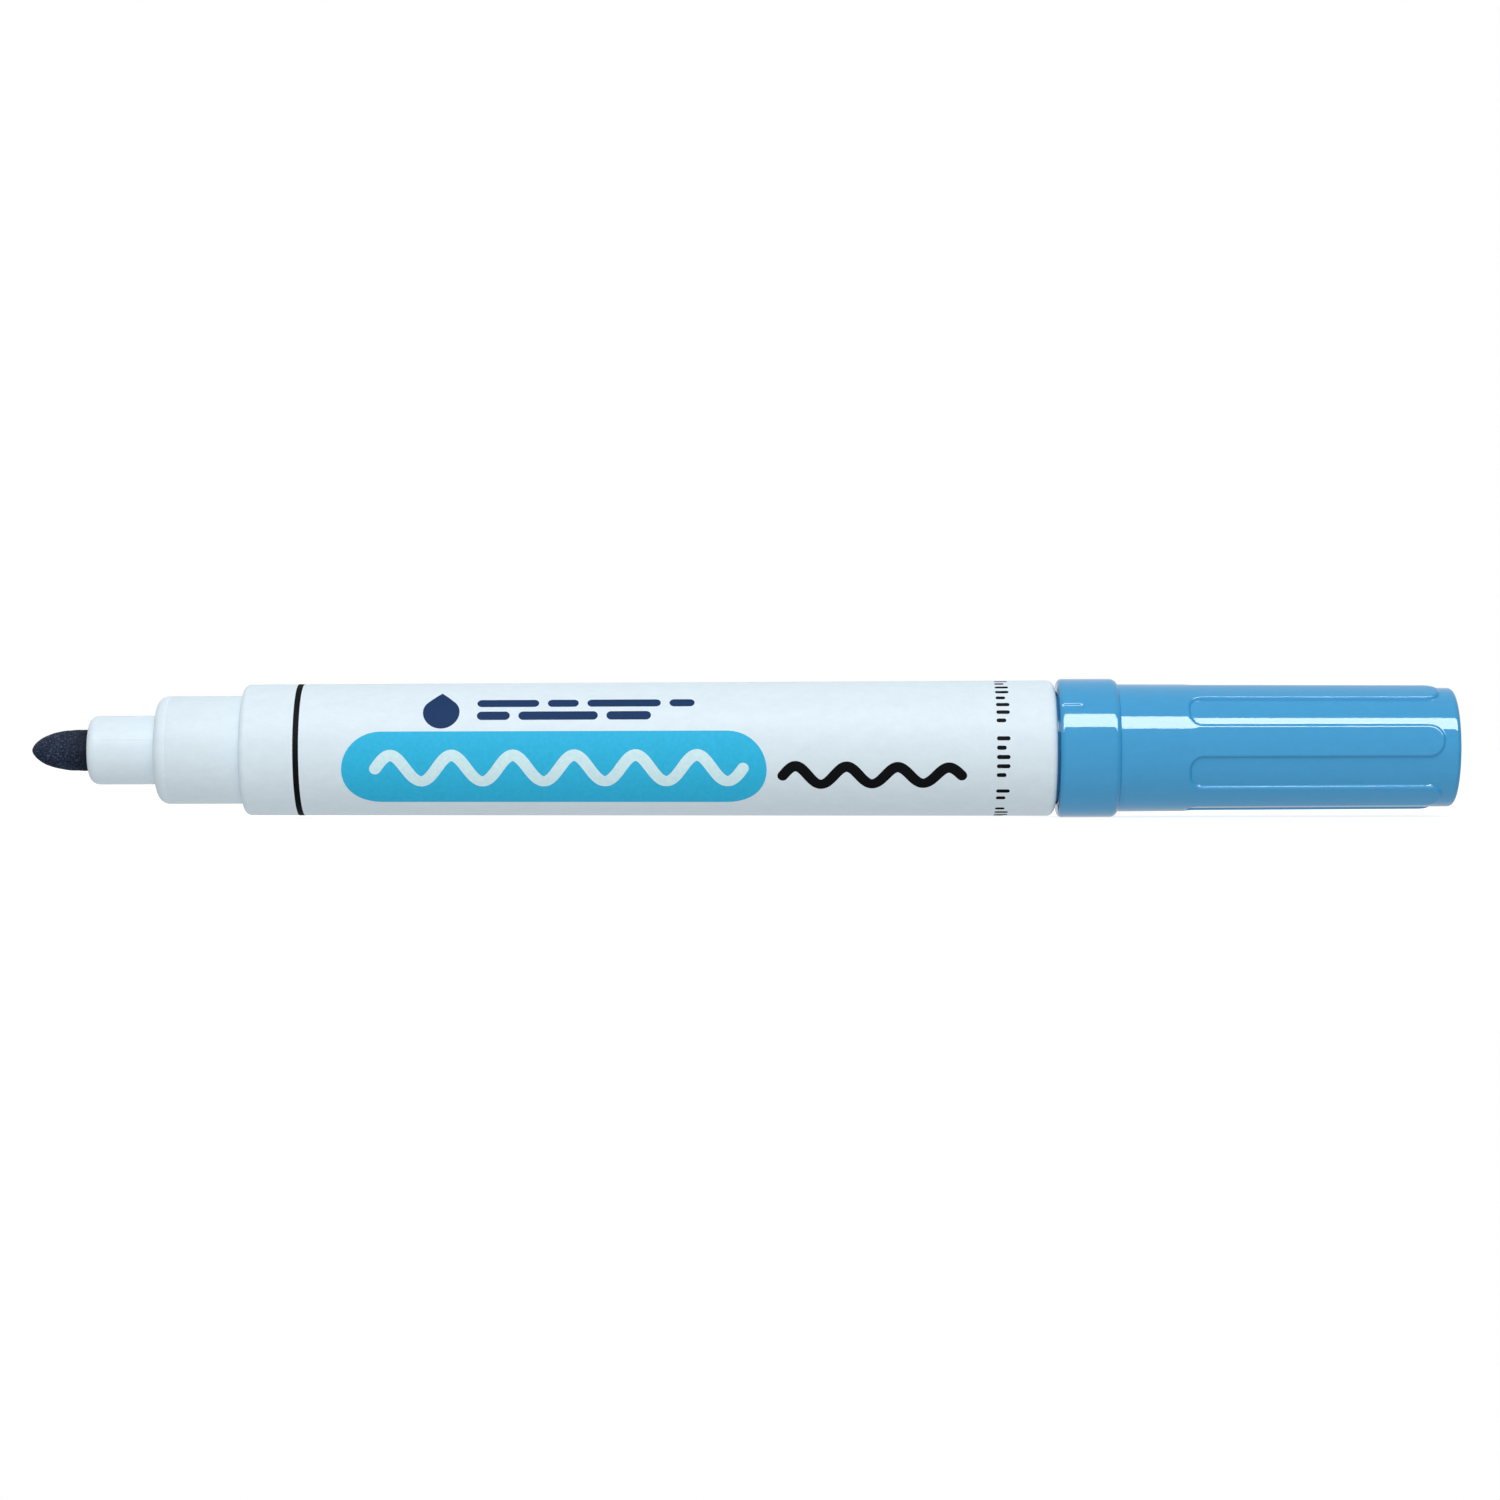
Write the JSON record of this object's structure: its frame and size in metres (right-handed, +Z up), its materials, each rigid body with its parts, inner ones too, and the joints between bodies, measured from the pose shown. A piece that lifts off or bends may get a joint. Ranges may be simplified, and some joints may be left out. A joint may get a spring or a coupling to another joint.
{
  "type": "whiteboard marker",
  "caption": "Slim round whiteboard marker with a bullet nib, a white barrel and a blue ribbed cap posted on its rear end; the cap turns and pulls off.",
  "frame": {"origin": "under the middle of the marker's length, on the table that it lies on", "axes": "+X along the marker from the nib to the closed end of the posted cap, +Z up, -Y the side that carries the printed label"},
  "size_m": [0.149, 0.0144, 0.0144],
  "materials": {
    "nib_fibre": "matt pressed fibre, soaked with dark blue ink",
    "white_plastic": "satin white polypropylene with a cool tint",
    "reservoir_fibre": "ink-soaked polyester fibre",
    "reservoir_film": "thin clear film",
    "blue_plastic": "glossy mid blue polypropylene",
    "liner_plastic": "satin natural white polyethylene",
    "blue_ink": "satin printed light blue",
    "pale_ink": "satin printed pale blue",
    "navy_ink": "satin printed navy",
    "black_ink": "satin printed black"
  },
  "bodies": {
    "barrel": {"barrel": "white_plastic", "nib_holder": "white_plastic", "nib": "nib_fibre", "reservoir_core": "reservoir_fibre", "reservoir_film": "reservoir_film", "rear_plug": "blue_plastic"},
    "inner_cap": {"cap_liner": "liner_plastic"},
    "cap": {"cap_shell": "blue_plastic"}
  },
  "joints": [
    {"name": "cap_pull", "type": "slide", "parent": "barrel", "child": "inner_cap", "axis": [1, 0, 0], "range_m": [0, 0.04]},
    {"name": "cap_twist", "type": "hinge", "parent": "inner_cap", "child": "cap", "pos_m": [0.0538, 0, 0.00722], "axis": [1, 0, 0], "continuous": true}
  ]
}
